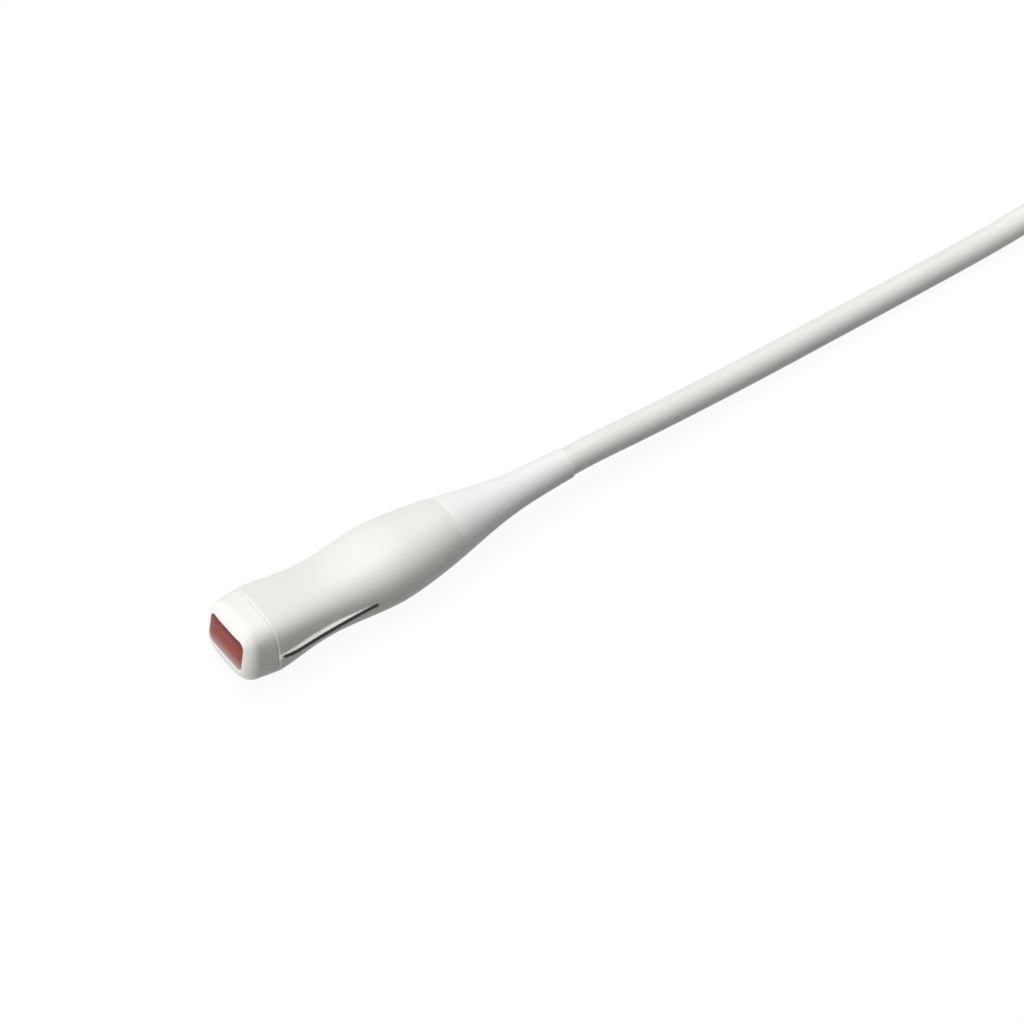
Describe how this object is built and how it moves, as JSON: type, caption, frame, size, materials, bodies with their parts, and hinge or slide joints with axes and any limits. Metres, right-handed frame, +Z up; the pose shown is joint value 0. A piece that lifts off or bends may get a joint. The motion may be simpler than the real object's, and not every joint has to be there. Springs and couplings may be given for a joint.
{
  "type": "ultrasound transducer probe",
  "caption": "Hand-held phased-array ultrasound probe: small rectangular lens, waisted white handle with a raised marker rib, tapering boot and a thick cable ending in a plug-in connector.",
  "frame": {"origin": "on the floor under the middle of the probe, halfway from the lens to the boot's lip", "axes": "+X along the probe from the lens to the cable, +Z up, marker rib on the -Y side"},
  "size_m": [0.7187, 0.0763, 0.0417],
  "materials": {
    "white_plastic": "smooth moulded white, soft sheen",
    "lens_silicone": "glossy red-brown silicone",
    "marker_black": "matt black inlay",
    "boot_white": "soft white elastomer",
    "cable_jacket": "smooth white jacket",
    "seal_black": "black seal",
    "matching_resin": "filled resin",
    "piezo_ceramic": "fired ceramic",
    "backing_resin": "dense filled resin",
    "frame_alloy": "machined alloy",
    "flex_film": "amber film",
    "board_green": "green solder mask",
    "socket_cream": "cream moulding",
    "screw_steel": "plain steel",
    "shield_tin": "tinned sheet",
    "coax_bundle": "bundled thin coaxial leads",
    "tie_black": "black strap",
    "connector_grey": "light grey moulding",
    "insert_black": "black insulator",
    "contact_gold": "gold-plated contact"
  },
  "bodies": {
    "root": {"acoustic_lens": "lens_silicone", "nose_cap": "white_plastic", "handle_sleeve": "white_plastic", "marker_strip": "marker_black", "strain_relief_boot": "boot_white", "nose_seal": "seal_black", "rear_seal": "seal_black", "outer_matching_layer": "matching_resin", "inner_matching_layer": "matching_resin", "piezo_array": "piezo_ceramic", "backing_block": "backing_resin", "array_frame": "frame_alloy", "upper_flex": "flex_film", "lower_flex": "flex_film", "upper_board": "board_green", "lower_board": "board_green", "board_spacers": "screw_steel", "board_screws": "screw_steel", "board_nuts": "screw_steel", "flex_sockets": "socket_cream", "coax_headers": "socket_cream", "emi_shield": "shield_tin", "coax_bundle": "coax_bundle", "rear_bulkhead": "frame_alloy", "cable_clamp": "frame_alloy", "clamp_screws": "screw_steel", "flange_screws": "screw_steel", "cable_end": "cable_jacket", "cable": "cable_jacket", "cable_hank": "cable_jacket", "cable_ties": "tie_black", "cable_lead": "cable_jacket", "connector_boot": "connector_grey", "connector_housing_lower": "connector_grey", "connector_housing_upper": "connector_grey", "connector_screws": "screw_steel", "connector_shell": "shield_tin", "connector_insert": "insert_black", "contact_pins": "contact_gold", "connector_board": "board_green", "connector_coax": "coax_bundle"}
  },
  "joints": []
}
